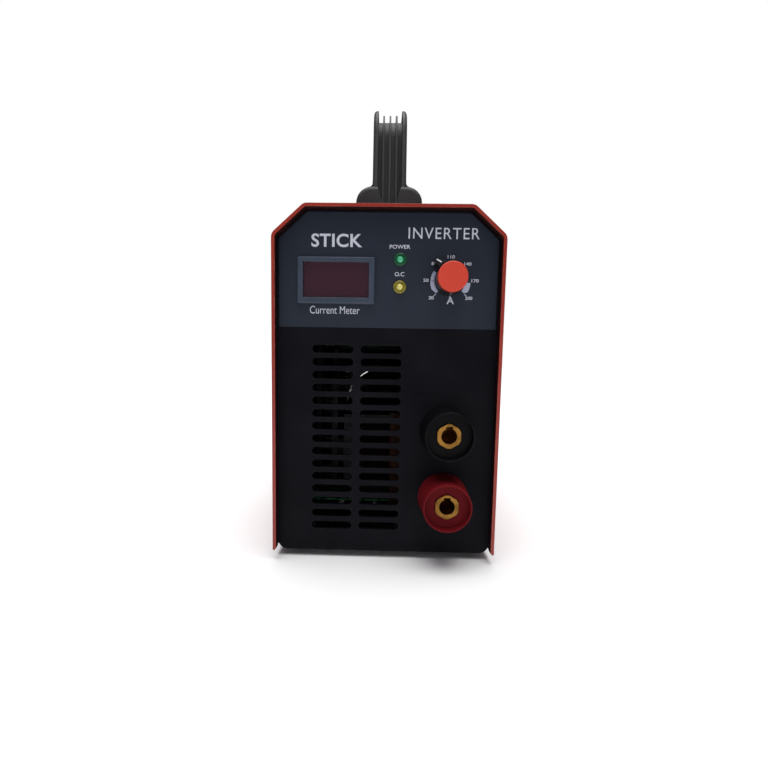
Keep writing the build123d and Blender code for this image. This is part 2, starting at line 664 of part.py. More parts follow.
def winding(x, y, width, depth, height, leg):
    """Turns round a core's middle leg, standing clear of it by half a millimetre."""
    window = (width - 2 * leg - 1.6 * leg) / 2
    reach_x, reach_y = 0.8 * leg + window - 0.6, depth / 2 + window - 0.6
    coil = Pos(x, y, BOARD_TOP + leg + 0.5) * extrude(
        RectangleRounded(2 * reach_x, 2 * reach_y, 5), height - 2 * leg - 1.0)
    coil -= Pos(x, y, BOARD_TOP + height / 2) * Box(1.6 * leg + 1.0, depth + 1.0, height)
    turns = int((height - 2 * leg - 4) / 3.2)
    shell = RectangleRounded(2 * reach_x + 4, 2 * reach_y + 4, 6) - RectangleRounded(
        2 * reach_x - 1.2, 2 * reach_y - 1.2, 4.4)
    for i in range(turns):
        coil -= Pos(x, y, BOARD_TOP + leg + 3.0 + 3.2 * i) * extrude(shell, 0.5)
    return coil


TRANSFORMER = (0.0, 36.0, 52.0, 26.0, 56.0, 8.0)
CHOKE = (-8.0, -30.0, 50.0, 24.0, 62.0, 8.0)


def bus_capacitors():
    can = rod(14.5, SHELF_Z + BOARD_T, SHELF_Z + BOARD_T + 46)
    can = fillet(can.edges().sort_by(Axis.Z)[-1], 1.5)
    can -= rod(11.5, SHELF_Z + BOARD_T + 45.4, 260)
    return group([Pos(x, y, 0) * can for x in (-22.0, 10.0) for y in (-20.0, 14.0)])


def bridge_rectifiers():
    one = block((-3, 3), (-15, 15), (SHELF_Z + BOARD_T + 4, SHELF_Z + BOARD_T + 24))
    one -= Pos(0, 0, SHELF_Z + 20) * Rot(0, 90, 0) * Cylinder(1.8, 10)
    for y in (-11, -4, 4, 11):
        one += block((-0.4, 0.4), (y - 0.6, y + 0.6), (SHELF_Z + BOARD_T, SHELF_Z + BOARD_T + 4.1))
    return group([Pos(x, 10, 0) * one for x in (36.0, 44.0)])


def auxiliary_transformer():
    low = SHELF_Z + BOARD_T
    core = Pos(-30, 54, low + 11) * Box(24, 20, 22)
    coil = Pos(-30, 54, low + 11) * Box(15, 27, 13)
    return core + coil


def soft_start_parts():
    """The relay and the disc thermistor that limit the current at switch-on."""
    low = SHELF_Z + BOARD_T
    relay = Pos(14, 56, low + 8) * Box(29, 13, 16)
    relay = fillet(relay.faces().sort_by(Axis.Z)[-1].edges(), 1)
    disc = Pos(40, 56, low + 12) * Rot(90, 0, 0) * Cylinder(7.5, 4)
    for x in (-3.5, 3.5):
        disc += Pos(40 + x, 56, 0) * rod(0.5, low, low + 8)
    return group([relay, disc])


def control_board():
    """The board behind the panel's upper right, carrying the dial's potentiometer and both lamps."""
    board = Pos(28, 181, -BOARD_BACK - BOARD_T) * extrude(RectangleRounded(60, 44, 1.5), BOARD_T)
    for x, z, w, h, t in ((12, 168, 10, 6, 2), (30, 168, 14, 7, 3), (44, 196, 8, 8, 2.4), (18, 192, 12, 5, 2)):
        board += Pos(x, z, -BOARD_BACK - BOARD_T - t / 2 + 0.05) * Box(w, h, t + 0.1)
    return FRONT * board


def wire(points, r):
    """A round lead through the given points."""
    path = Spline(*points)
    return sweep(Plane(origin=path @ 0, z_dir=path % 0) * Circle(r), path)


def mains_leads():
    """From the switch's blades down to the shelf board."""
    leads = []
    for x in (26.5, 37.5):
        leads.append(wire([(x, REAR_Y - 29, SWITCH_Z + 7), (x, REAR_Y - 36, SWITCH_Z + 2),
                           (x - 4, 70, 158), (x - 4, 69, SHELF_Z + BOARD_T + 1)], 1.5))
        leads.append(wire([(-GLAND_X + (x - 32) * 0.35, REAR_Y - 12, GLAND_Z), (-20, REAR_Y - 26, GLAND_Z + 2),
                           (8, REAR_Y - 34, GLAND_Z - 6), (x, REAR_Y - 29.6, SWITCH_Z - 7)], 1.4))
    return group(leads)


def signal_leads():
    """Thin leads from the meter and the control board back to the shelf board."""
    leads = []
    for i in range(4):
        leads.append(wire([(-40 + 2.4 * i, PANEL_Y + 8.2, METER_Z - 6), (-40 + 2.4 * i, PANEL_Y + 26, METER_Z - 4),
                           (-40 + 2.4 * i, -48, 160), (-40 + 2.4 * i, -39, SHELF_Z + BOARD_T + 1)], 0.7))
        leads.append(wire([(20 + 2.4 * i, PANEL_Y + BOARD_BACK + BOARD_T, 182), (20 + 2.4 * i, PANEL_Y + 28, 180),
                           (20 + 2.4 * i, -48, 158), (20 + 2.4 * i, -39, SHELF_Z + BOARD_T + 1)], 0.7))
    return group(leads)


# ---------------------------------------------------------------- fan
def at_fan(shape):
    return REAR * Pos(0, FAN_Z, 0) * shape


def fan_corners():
    reach = FAN_PITCH / 2
    return [(x, z) for x in (-reach, reach) for z in (-reach, reach)]


def fan_frame():
    back = -PANEL_T
    front = back - FAN_DEPTH
    body = Pos(0, 0, front) * extrude(RectangleRounded(FAN_SIZE, FAN_SIZE, 5), FAN_DEPTH)
    body -= rod(DUCT_R, front - 1, back + 1)
    waist = Pos(0, 0, front + 4) * extrude(Rectangle(FAN_SIZE + 4, FAN_SIZE + 4) - Circle(DUCT_R + 2), FAN_DEPTH - 8)
    body -= waist
    for turn in (45, 135, 225, 315):
        body += Rot(0, 0, turn) * block((12, DUCT_R + 1), (-2.5, 2.5), (front, front + 3))
    body += rod(15.0, front, front + 3) + rod(4.0, front, front + 14)
    body -= rod(1.6, front - 1, back)
    for x, z in fan_corners():
        body -= Pos(x, z, 0) * rod(2.2, front - 1, 1)
    return at_fan(body)


def fan_rotor():
    back = -PANEL_T
    front = back - FAN_DEPTH
    body = rod(HUB_R, front + 4, back - 1.5)
    body = fillet(body.edges().sort_by(Axis.Z)[-1], 2.0)
    body -= rod(HUB_R - 1.6, front + 3, back - 3.5)
    body += rod(1.5, front + 1, back - 3)
    sweep_ring = rod(BLADE_R, front + 4, back - 1) - rod(HUB_R - 0.8, front, back)
    for i in range(BLADES):
        middle = (HUB_R + BLADE_R) / 2
        blade = Pos(middle, 0, front + 13.8) * Rot(BLADE_PITCH, 0, 0) * Box(BLADE_R - HUB_R + 6, BLADE_CHORD, 1.6)
        body += Rot(0, 0, 360 / BLADES * i) * (blade & sweep_ring)
    return at_fan(body)


def fan_guard():
    body = None
    for ring in (12.0, 20.0, 28.0, 36.0, 44.0):
        hoop = Pos(0, 0, 3.7) * Torus(ring, 0.9)
        body = hoop if body is None else body + hoop
    for x, z in fan_corners():
        turn = degrees(atan2(z, x))
        spoke = Rot(0, 0, turn) * Pos(0, 0, 2.4) * Rot(0, 90, 0) * rod(0.9, 12.0, hypot(x, z) - 3.5)
        ear = Pos(x, z, 0) * washer(2.2, 4.6, 0, 3.4)
        body += spoke + ear
    return at_fan(body)


def fan_bolts():
    bolt = Pos(0, 0, 3.4) * screw(1.9, 35.0, 3.9, 2.4)
    nut = hexagon(7.0, -PANEL_T - FAN_DEPTH - 3.2, -PANEL_T - FAN_DEPTH) - rod(1.95, -40, 0)
    return group([at_fan(Pos(x, z, 0) * one) for x, z in fan_corners() for one in (bolt, nut)])


# ---------------------------------------------------------------- power switch
SWITCH_OPEN = (18.0, 24.0)
SWITCH_PIVOT = -3.0
ROCKER_TILT = 11.0


def at_switch(shape):
    return REAR * Pos(SWITCH_X, SWITCH_Z, 0) * shape


def switch_housing():
    flange = extrude(RectangleRounded(25.4, 31.4, 2.0), 2.0)
    flange = chamfer(flange.faces().sort_by(Axis.Z)[-1].edges(), 0.6)
    body = flange + Pos(0, 0, -20.0) * extrude(Rectangle(22.0, 28.0), 20.1)
    body -= Pos(0, 0, -14.0) * extrude(Rectangle(*SWITCH_OPEN), 20)
    body -= Pos(0, 0, SWITCH_PIVOT) * Rot(0, 90, 0) * Cylinder(1.55, 20.4)
    for x in (-5.5, 5.5):
        for z in (-7, 7):
            body += block((x - 0.4, x + 0.4), (z - 3.1, z + 3.1), (-28.0, -19.9))
    return at_switch(body)


def switch_rocker():
    """A rocker with a shallow V face, turning about a cross pin in the housing."""
    reach = SWITCH_OPEN[1] / 2 - 0.4
    wide = SWITCH_OPEN[0] - 0.6
    side = Polygon((-reach, -1.5), (-6, -7), (6, -7), (reach, -1.5), (reach, 6.4), (0, 4.2), (-reach, 6.4), align=None)
    section = side & Circle(reach)
    body = Rot(0, 90, 0) * Rot(0, 0, 90) * extrude(section, wide / 2, both=True)
    body += Rot(0, 90, 0) * Cylinder(1.45, 20.0)
    body = Pos(0, 0, SWITCH_PIVOT) * Rot(ROCKER_TILT, 0, 0) * body
    return at_switch(body)


# ---------------------------------------------------------------- cable gland and earth stud
def at_gland(shape):
    return REAR * Pos(GLAND_X, GLAND_Z, 0) * shape


def gland_body():
    body = hexagon(22.0, 0, 5.0) + rod(8.0, -10.0, 0.1) + rod(8.6, 4.9, 13.0)
    body -= rod(5.4, -11, 6.0) + rod(7.2, 5.0, 14)
    return at_gland(body)


def gland_seal():
    return at_gland(washer(CABLE_BORE_R, 7.1, 6.1, 19.0))


def gland_cap():
    body = hexagon(22.0, 5.2, 14.0) + rod(10.2, 13.9, 21.0)
    body = fillet(body.faces().sort_by(Axis.Z)[-1].edges(), 2.0)
    body -= rod(8.7, 5.0, 13.3) + rod(7.2, 13.0, 19.1) + rod(CABLE_BORE_R + 0.6, 19, 22)
    return at_gland(body)


def gland_nut():
    return at_gland(hexagon(22.0, -PANEL_T - 5.0, -PANEL_T) - rod(8.05, -12, 0))


def earth_stud():
    head = hexagon(10.0, -PANEL_T - 4.0, -PANEL_T)
    shank = rod(3.0, -PANEL_T - 0.1, 14.0) + rod(EARTH_TIP_R, 13.9, 20.0)
    return REAR * Pos(EARTH_X, EARTH_Z, 0) * (head + shank)


def earth_nuts():
    pieces = [washer(3.05, 6.0, 0, 1.2), hexagon(10.0, 1.2, 6.2) - rod(3.05, 0, 20),
              washer(3.05, 6.0, 7.4, 8.6), hexagon(10.0, 8.6, 13.6) - rod(3.05, 0, 20)]
    return REAR * Pos(EARTH_X, EARTH_Z, 0) * group(pieces)


# ---------------------------------------------------------------- files
PARTS = {
    "hood": hood,
    "base_tray": base_tray,
    "front_panel": front_panel,
    "control_overlay": control_overlay,
    "rear_panel": rear_panel,
    "rubber_feet": rubber_feet,
    "base_screws": base_screws,
    "hood_screws": hood_screws,
    "handle": handle,
    "handle_screws": handle_screws,
    "meter_bezel": meter_bezel,
    "meter_lens": meter_lens,
    "meter_module": meter_module,
    "led_power": led_power,
    "led_overload": led_overload,
    "ring_power": ring_power,
    "ring_overload": ring_overload,
    "potentiometer": potentiometer,
    "dial_nut": dial_nut,
    "dial_shaft": dial_shaft,
    "dial_knob": dial_knob,
    "dial_cap": dial_cap,
    "control_board": control_board,
    "socket_negative": lambda: socket_insulator(NEGATIVE_Z),
    "socket_positive": lambda: socket_insulator(POSITIVE_Z),
    "contact_negative": lambda: socket_contact(NEGATIVE_Z),
    "contact_positive": lambda: socket_contact(POSITIVE_Z),
    "socket_nuts": socket_nuts,
    "terminal_bolts": terminal_bolts,
    "bus_bar_negative": lambda: bus_bar(NEGATIVE_Z, NEGATIVE_TAIL_X),
    "bus_bar_positive": lambda: bus_bar(POSITIVE_Z, SOCKET_X),
    "main_board": main_board,
    "board_spacers": board_spacers,
    "shelf_board": shelf_board,
    "small_screws": small_screws,
    "primary_heatsink": lambda: heatsink(-1),
    "output_heatsink": lambda: heatsink(1),
    "power_devices": power_devices,
    "transformer_core": lambda: ferrite_core(*TRANSFORMER),
    "transformer_winding": lambda: winding(*TRANSFORMER),
    "choke_core": lambda: ferrite_core(*CHOKE),
    "choke_winding": lambda: winding(*CHOKE),
    "bus_capacitors": bus_capacitors,
    "bridge_rectifiers": bridge_rectifiers,
    "auxiliary_transformer": auxiliary_transformer,
    "soft_start_parts": soft_start_parts,
    "mains_leads": mains_leads,
    "signal_leads": signal_leads,
    "fan_frame": fan_frame,
    "fan_rotor": fan_rotor,
    "fan_guard": fan_guard,
    "fan_bolts": fan_bolts,
    "switch_housing": switch_housing,
    "switch_rocker": switch_rocker,
    "gland_body": gland_body,
    "gland_cap": gland_cap,
    "gland_seal": gland_seal,
    "gland_nut": gland_nut,
    "earth_stud": earth_stud,
    "earth_nuts": earth_nuts,
}

if __name__ == "__main__":
    os.makedirs("parts", exist_ok=True)
    for name, make in PARTS.items():
        shape = make()
        shape.label = name
        export_step(shape, f"parts/{name}.step")
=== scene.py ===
"""Looks for a stick welding inverter: materials, printed graphics, lamps, dial scale, light and camera."""
import json
import math

import bmesh
import bpy
from mathutils import Matrix, Vector


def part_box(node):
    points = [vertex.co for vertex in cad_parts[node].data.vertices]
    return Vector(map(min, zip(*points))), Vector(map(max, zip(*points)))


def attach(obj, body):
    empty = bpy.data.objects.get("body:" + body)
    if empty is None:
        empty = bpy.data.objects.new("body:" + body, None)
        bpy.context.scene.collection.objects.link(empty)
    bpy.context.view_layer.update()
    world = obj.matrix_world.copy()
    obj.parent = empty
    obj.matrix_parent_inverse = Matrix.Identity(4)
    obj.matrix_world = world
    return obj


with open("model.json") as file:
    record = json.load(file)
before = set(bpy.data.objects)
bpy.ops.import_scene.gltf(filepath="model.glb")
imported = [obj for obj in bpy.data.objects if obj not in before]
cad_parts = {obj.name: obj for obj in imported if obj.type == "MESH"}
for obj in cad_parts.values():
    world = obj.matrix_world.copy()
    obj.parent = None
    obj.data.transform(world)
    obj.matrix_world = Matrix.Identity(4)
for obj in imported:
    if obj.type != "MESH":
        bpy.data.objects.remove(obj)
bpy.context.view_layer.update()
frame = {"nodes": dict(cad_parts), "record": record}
nodes = frame["nodes"]
MM = 0.001


# ---------------------------------------------------------------- where things are, from the frame
def middle(node):
    low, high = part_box(node)
    return (low + high) / 2


PANEL_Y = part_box("front_panel")[0].y
LABEL_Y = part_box("control_overlay")[0].y
DIAL = middle("dial_nut")
SCALE = DIAL + Vector((0.8, 0.0, -0.6)) * MM      # the printed scale sits a little off the shaft
METER = middle("meter_bezel")
POWER_LAMP = middle("led_power")
OVERLOAD_LAMP = middle("led_overload")
CASE_MIDDLE_Z = middle("hood").z


# ---------------------------------------------------------------- node helpers
class Nodes:
    """A small builder for one material's node tree."""

    def __init__(self, name):
        self.material = bpy.data.materials.new(name)
        self.material.use_nodes = True
        self.tree = self.material.node_tree
        self.tree.nodes.clear()
        self.out = self.tree.nodes.new("ShaderNodeOutputMaterial")
        self.shader = self.tree.nodes.new("ShaderNodeBsdfPrincipled")
        self.tree.links.new(self.shader.outputs[0], self.out.inputs[0])
        self.coord = self.tree.nodes.new("ShaderNodeTexCoord").outputs["Object"]

    def node(self, kind, inputs=None, **settings):
        made = self.tree.nodes.new(kind)
        for key, value in settings.items():
            setattr(made, key, value)
        for key, value in (inputs or {}).items():
            self.put(made.inputs[key], value)
        return made

    def put(self, socket, value):
        if isinstance(value, bpy.types.NodeSocket):
            self.tree.links.new(value, socket)
        else:
            socket.default_value = value

    def scaled(self, x, y, z):
        return self.node("ShaderNodeMapping", {"Vector": self.coord, "Scale": (x, y, z)}).outputs[0]

    def noise(self, scale, detail=3.0, rough=0.5, vector=None):
        made = self.node("ShaderNodeTexNoise", {
            "Vector": vector or self.coord, "Scale": scale, "Detail": detail, "Roughness": rough})
        return made.outputs["Fac"]

    def ramp(self, fac, low, high, low_value=0.0, high_value=1.0):
        made = self.node("ShaderNodeMapRange", {
            "Value": fac, "From Min": low, "From Max": high, "To Min": low_value, "To Max": high_value})
        return made.outputs[0]

    def mix(self, fac, first, second):
        made = self.node("ShaderNodeMix", data_type="RGBA")
        self.put(made.inputs[0], fac)
        self.put(made.inputs[6], first)
        self.put(made.inputs[7], second)
        return made.outputs[2]

    def maths(self, operation, first, second=0.0):
        made = self.node("ShaderNodeMath", operation=operation)
        self.put(made.inputs[0], first)
        self.put(made.inputs[1], second)
        return made.outputs[0]

    def vectors(self, operation, first, second):
        return self.node("ShaderNodeVectorMath", {0: first, 1: second}, operation=operation)

    def bump(self, height, distance, strength=1.0, normal=None):
        inputs = {"Height": height, "Distance": distance, "Strength": strength}
        if normal is not None:
            inputs["Normal"] = normal
        return self.node("ShaderNodeBump", inputs).outputs[0]

    def rounded(self, radius):
        return self.node("ShaderNodeBevel", {"Radius": radius}, samples=4).outputs[0]

    def edges(self, radius):
        """1 where a surface turns over an edge, 0 on flat ground."""
        flat = self.node("ShaderNodeNewGeometry").outputs["Normal"]
        dot = self.vectors("DOT_PRODUCT", self.rounded(radius), flat)
        return self.ramp(dot.outputs["Value"], 0.995, 0.86)

    def across(self, centre):
        """Distance from an axis that runs front to back through the given point."""
        flat = self.vectors("MULTIPLY", self.coord, (1.0, 0.0, 1.0)).outputs[0]
        return self.vectors("DISTANCE", flat, (centre.x, 0.0, centre.z)).outputs["Value"]

    def set(self, **values):
        names = {
            "color": "Base Color", "rough": "Roughness", "metal": "Metallic", "normal": "Normal",
            "ior": "IOR", "coat": "Coat Weight", "coat_rough": "Coat Roughness",
            "specular": "Specular IOR Level", "transmission": "Transmission Weight",
            "glow": "Emission Color", "glow_strength": "Emission Strength"}
        for key, value in values.items():
            self.put(self.shader.inputs[names[key]], value)
        return self.material


def rgb(r, g, b):
    """Scene-linear colour from an 8-bit display colour."""
    def linear(c):
        c /= 255
        return c / 12.92 if c <= 0.04045 else ((c + 0.055) / 1.055) ** 2.4
    return (linear(r), linear(g), linear(b), 1.0)


def shaded(color, factor):
    """The same colour made lighter or darker, still within white."""
    return tuple(min(1.0, c * factor) for c in color[:3]) + (1.0,)


def moulded(name, dark, light, rough=0.45, grain=0.00006, grain_scale=1600.0, edge=0.0004, specular=0.5,
            wear_and_sheen=0.5):
    """Injection-moulded plastic: spark-eroded grain, faint shade changes, and edges lightened in patches,
    partly as wear and partly as a painted sheen.
    """
    m = Nodes(name)
    shade = m.ramp(m.noise(35, 4), 0.35, 0.7)
    fine = m.noise(grain_scale, 2)
    # edges lightened in patches: partly wear, partly a painted sheen
    edge_wear_and_sheen = m.maths("MULTIPLY", m.edges(edge * 1.6), m.ramp(m.noise(90, 3), 0.3, 0.7, 0.2, wear_and_sheen))
    color = m.mix(shade, dark, light)
    color = m.mix(edge_wear_and_sheen, color, shaded(light, 2.2))
    roughness = m.ramp(m.noise(14, 4), 0.3, 0.7, rough - 0.05, rough + 0.08)
    return m.set(color=color, rough=roughness, specular=specular,
                 normal=m.bump(fine, grain, 0.7, m.rounded(edge)))


def painted(name, dark, light, edge_highlight_color, inside_shade):
    """Powder-coated sheet: orange-peel ripple, uneven shade, edges lightened in patches as a painted
    highlight, and painted shade on the inside faces.
    """
    m = Nodes(name)
    shade = m.ramp(m.noise(9, 5), 0.35, 0.68)
    color = m.mix(shade, dark, light)
    # painted highlight: the edges are lightened in patches towards a salmon colour
    edge_highlight = m.maths("MULTIPLY", m.edges(0.0007), m.ramp(m.noise(160, 4), 0.46, 0.66, 0.0, 0.8))
    color = m.mix(edge_highlight, color, edge_highlight_color)
    # inside faces look towards the case's middle line, and take a much darker colour: painted shade for the
    # shadow inside the hood
    outward = m.vectors("SUBTRACT", m.coord, (0.0, 0.0, CASE_MIDDLE_Z)).outputs[0]
    outward = m.vectors("MULTIPLY", outward, (1.0, 0.0, 1.0)).outputs[0]
    turned = m.vectors("DOT_PRODUCT", outward, m.node("ShaderNodeNewGeometry").outputs["Normal"])
    # mask of the inside faces, which get the painted shade
    thin = m.ramp(turned.outputs["Value"], -0.004, -0.02)
    inside_shade_color = m.mix(m.ramp(m.noise(60, 4), 0.35, 0.7), inside_shade, shaded(inside_shade, 0.6))
    color = m.mix(thin, color, inside_shade_color)
    peel = m.noise(420, 2)
    roughness = m.ramp(m.noise(30, 3), 0.3, 0.7, 0.3, 0.42)
    return m.set(color=color, rough=roughness, coat=0.15, coat_rough=0.25, specular=0.4,
                 normal=m.bump(peel, 0.00005, 0.8, m.rounded(0.0004)))


def metal(name, color, dull, rough=0.3, grain=(40, 900, 900), edge=0.0003):
    """Machined or drawn metal with fine lines and a dull film in patches."""
    m = Nodes(name)
    lines = m.noise(1.0, 3, vector=m.scaled(*grain))
    film = m.ramp(m.noise(120, 5), 0.4, 0.7)
    return m.set(color=m.mix(film, color, dull), metal=1.0,
                 rough=m.ramp(m.noise(200, 3), 0.3, 0.7, rough - 0.08, rough + 0.12),
                 normal=m.bump(lines, 0.00003, 0.6, m.rounded(edge)))


def circuit(name):
    """Green solder mask with lighter tracks and pads under it."""
    m = Nodes(name)
    cells = m.node("ShaderNodeTexVoronoi", {"Vector": m.coord, "Scale": 160.0}, distance="MANHATTAN")
    track = m.ramp(cells.outputs["Distance"], 0.42, 0.5)
    color = m.mix(track, (0.008, 0.09, 0.03, 1), (0.03, 0.2, 0.07, 1))
    dots = m.node("ShaderNodeTexVoronoi", {"Vector": m.coord, "Scale": 260.0})
    pads = m.ramp(dots.outputs["Distance"], 0.16, 0.1)
    color = m.mix(pads, color, (0.55, 0.55, 0.52, 1))
    return m.set(color=color, rough=0.3, normal=m.bump(track, 0.00003, 0.6))


def wound(name, light, dark, pitch):
    """Enamelled wire laid in level turns; its colour follows the turns' bump, darker in the grooves as
    painted shade and lighter on the crowns as a painted highlight.
    """
    m = Nodes(name)
    wave = m.node("ShaderNodeTexWave", {"Vector": m.coord, "Scale": 1 / pitch, "Distortion": 0.3},
                  bands_direction="Z", wave_profile="SIN")
    fac = wave.outputs["Fac"]
    # painted shade in the grooves and painted highlight on the crowns, from the same wave as the bump
    return m.set(color=m.mix(fac, dark, light), metal=0.6, rough=m.ramp(m.noise(300, 2), 0.3, 0.7, 0.25, 0.4),
                 normal=m.bump(fac, 0.0003, 0.9))


# ---------------------------------------------------------------- materials
MATERIALS = {
    # the salmon colour is the painted edge highlight; the last colour is painted shade for the inside faces
    "case_paint": painted("case_paint", rgb(140, 38, 26), rgb(156, 46, 31), rgb(198, 122, 100),
                          rgb(48, 13, 11)),
    "panel_plastic": moulded("panel_plastic", rgb(16, 15, 20), rgb(22, 21, 26), 0.5, specular=0.05),
    "handle_plastic": moulded("handle_plastic", rgb(34, 34, 35), rgb(47, 46, 47), 0.55, 0.00012, 900,
                              specular=0.35),
    "tray_steel": metal("tray_steel", (0.62, 0.62, 0.6, 1), (0.42, 0.42, 0.4, 1), 0.36, (30, 900, 900)),
    "screw_steel": metal("screw_steel", (0.6, 0.6, 0.6, 1), (0.35, 0.35, 0.34, 1), 0.3),
    "foot_rubber": moulded("foot_rubber", rgb(24, 24, 24), rgb(34, 34, 34), 0.8, 0.0001, 1200),
    "bezel_plastic": moulded("bezel_plastic", rgb(48, 58, 72), rgb(60, 70, 86), 0.35, 0.00002),
    "digit_plastic": moulded("digit_plastic", rgb(46, 22, 26), rgb(58, 28, 32), 0.4, 0.00002),
    "black_plastic": moulded("black_plastic", rgb(14, 14, 15), rgb(22, 22, 24), 0.34, 0.00003, specular=0.3),
    "cap_plastic": moulded("cap_plastic", rgb(204, 56, 34), rgb(213, 64, 40), 0.5, 0.00004, wear_and_sheen=0.2),
    "socket_black": moulded("socket_black", rgb(8, 7, 10), rgb(12, 11, 14), 0.42, 0.00004, specular=0.08),
    "socket_red": moulded("socket_red", rgb(92, 14, 20), rgb(108, 20, 26), 0.6, 0.00004, specular=0.08),
    "brass": metal("brass", rgb(158, 114, 54), rgb(108, 77, 36), 0.36, (700, 60, 700)),
    # copper kept far darker than bare copper: painted shade for the dim inside of the case
    "copper": metal("copper", rgb(58, 38, 28), rgb(36, 24, 18), 0.5),
    "circuit_board": circuit("circuit_board"),
    "aluminium": metal("aluminium", (0.62, 0.63, 0.64, 1), (0.4, 0.41, 0.42, 1), 0.35),
    "anodised_black": metal("anodised_black", (0.035, 0.035, 0.038, 1), (0.018, 0.018, 0.02, 1), 0.38,
                            (900, 30, 900)),
    "device_epoxy": moulded("device_epoxy", rgb(22, 22, 24), rgb(32, 32, 34), 0.6),
    "ferrite": moulded("ferrite", rgb(52, 52, 56), rgb(66, 66, 70), 0.7, 0.0001, 500),
    # winding colours kept near black: painted shade for the dim inside of the case
    "copper_winding": wound("copper_winding", (0.042, 0.018, 0.008, 1), (0.01, 0.005, 0.003, 1), 0.0022),
    "capacitor_sleeve": moulded("capacitor_sleeve", rgb(20, 26, 44), rgb(26, 34, 54), 0.3, 0.00002),
    "transformer_tape": moulded("transformer_tape", rgb(110, 84, 24), rgb(126, 98, 30), 0.4, 0.00003),
    "relay_case": moulded("relay_case", rgb(30, 60, 150), rgb(36, 72, 170), 0.35, 0.00002),
    "wire_insulation": moulded("wire_insulation", rgb(170, 36, 26), rgb(190, 44, 30), 0.45, 0.00002),
    "fan_plastic": moulded("fan_plastic", rgb(18, 18, 19), rgb(26, 26, 28), 0.5),
    "guard_wire": metal("guard_wire", (0.75, 0.75, 0.76, 1), (0.5, 0.5, 0.5, 1), 0.22),
    "seal_rubber": moulded("seal_rubber", rgb(28, 28, 28), rgb(36, 36, 36), 0.8),
}


def label_film():
    """Printed polycarbonate film: a blue-black ground with a fine matte texture."""
    m = Nodes("overlay_film")
    shade = m.ramp(m.noise(12, 4), 0.35, 0.7)
    return m.set(color=m.mix(shade, rgb(32, 38, 50), rgb(38, 44, 56)), rough=0.42, specular=0.25,
                 normal=m.bump(m.noise(2200, 2), 0.00002, 0.5))


def tinted_window():
    m = Nodes("meter_window")
    smear = m.ramp(m.noise(60, 4), 0.4, 0.75, 0.06, 0.16)
    return m.set(color=rgb(86, 45, 62), rough=smear, transmission=0.55, ior=1.49, coat=0.3)


def lamp_lens(name, color, highlight_core, centre, glow_strength):
    """A tinted lamp: a pale mottled centre that shades into a deeper rim; the pale centre is a painted
    highlight in the base colour, and the same colour drives the lamp's glow.
    """
    m = Nodes(name)
    # painted highlight: the base colour is paler towards the lens's centre
    rim = m.ramp(m.across(centre), 0.0008, 0.0026)
    highlight_mottle = m.ramp(m.noise(900, 2), 0.42, 0.62)
    body = m.mix(rim, highlight_core, color)
    inside = m.maths("SUBTRACT", 1.0, rim)
    # painted highlight: brighter mottled patches in the centre
    body = m.mix(m.maths("MULTIPLY", highlight_mottle, inside), body, shaded(highlight_core, 1.7))
    return m.set(color=body, rough=0.16, ior=1.5, glow=body, glow_strength=glow_strength)


def lamp_ring(name, dark, light):
    m = Nodes(name)
    color = m.mix(m.ramp(m.noise(420, 3), 0.35, 0.65), dark, light)
    return m.set(color=color, rough=m.ramp(m.noise(200, 2), 0.3, 0.7, 0.12, 0.26), ior=1.5,
                 normal=m.rounded(0.0002))


MATERIALS["overlay_film"] = label_film()
MATERIALS["meter_window"] = tinted_window()
MATERIALS["led_green"] = lamp_lens("led_green", rgb(24, 98, 62), rgb(70, 158, 118), POWER_LAMP, 0.2)
MATERIALS["led_yellow"] = lamp_lens("led_yellow", rgb(122, 112, 36), rgb(196, 186, 104), OVERLOAD_LAMP, 0.2)
MATERIALS["ring_green"] = lamp_ring("ring_green", rgb(14, 66, 40), rgb(20, 84, 50))
MATERIALS["ring_yellow"] = lamp_ring("ring_yellow", rgb(112, 104, 30), rgb(140, 130, 44))

for entry in frame["record"]["subparts"]:
    mesh = nodes[entry["node"]].data
    mesh.materials.clear()
    mesh.materials.append(MATERIALS[entry["material_slot"]])


# ---------------------------------------------------------------- printed graphics
def print_ink(name, color, rough=0.5):
    m = Nodes(name)
    speck = m.ramp(m.noise(1500, 2), 0.25, 0.75)
    return m.set(color=m.mix(speck, shaded(color, 0.88), color), rough=rough)


INK = print_ink("white_print", rgb(208, 210, 222))
SCALE_INK = print_ink("scale_print", rgb(176, 178, 200))
BAND_GAP_INK = print_ink("band_gap_print", rgb(70, 72, 84))
POINTER_INK = print_ink("pointer_print", rgb(214, 214, 220))
INK_T = 0.00003


def mesh_piece(name, mesh, material, body="case"):
    piece = bpy.data.objects.new(name, mesh)
    bpy.context.scene.collection.objects.link(piece)
    mesh.materials.clear()
    mesh.materials.append(material)
    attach(piece, body)
    return piece


def printed_text(name, words, centre, width, height, bold=0.0, spacing=1.0):
    """Flat lettering on the label, stretched to a width and height in metres about an (x, z) centre."""
    curve = bpy.data.curves.new(name, "FONT")
    curve.body = words
    curve.space_character = spacing
    curve.offset = bold
    curve.extrude = 0.01
    curve.resolution_u = 6
    holder = bpy.data.objects.new(name + "_curve", curve)
    bpy.context.scene.collection.objects.link(holder)
    bpy.context.view_layer.update()
    mesh = bpy.data.meshes.new_from_object(holder)
    bpy.data.objects.remove(holder)
    xs = [v.co.x for v in mesh.vertices]
    ys = [v.co.y for v in mesh.vertices]
    wide, tall = max(xs) - min(xs), max(ys) - min(ys)
    for v in mesh.vertices:
        across = (v.co.x - min(xs)) / wide - 0.5
        up = (v.co.y - min(ys)) / tall - 0.5
        depth = LABEL_Y - (INK_T if v.co.z > 0 else -INK_T)
        v.co = Vector((centre[0] + across * width, depth, centre[1] + up * height))
    return mesh_piece(name, mesh, INK)


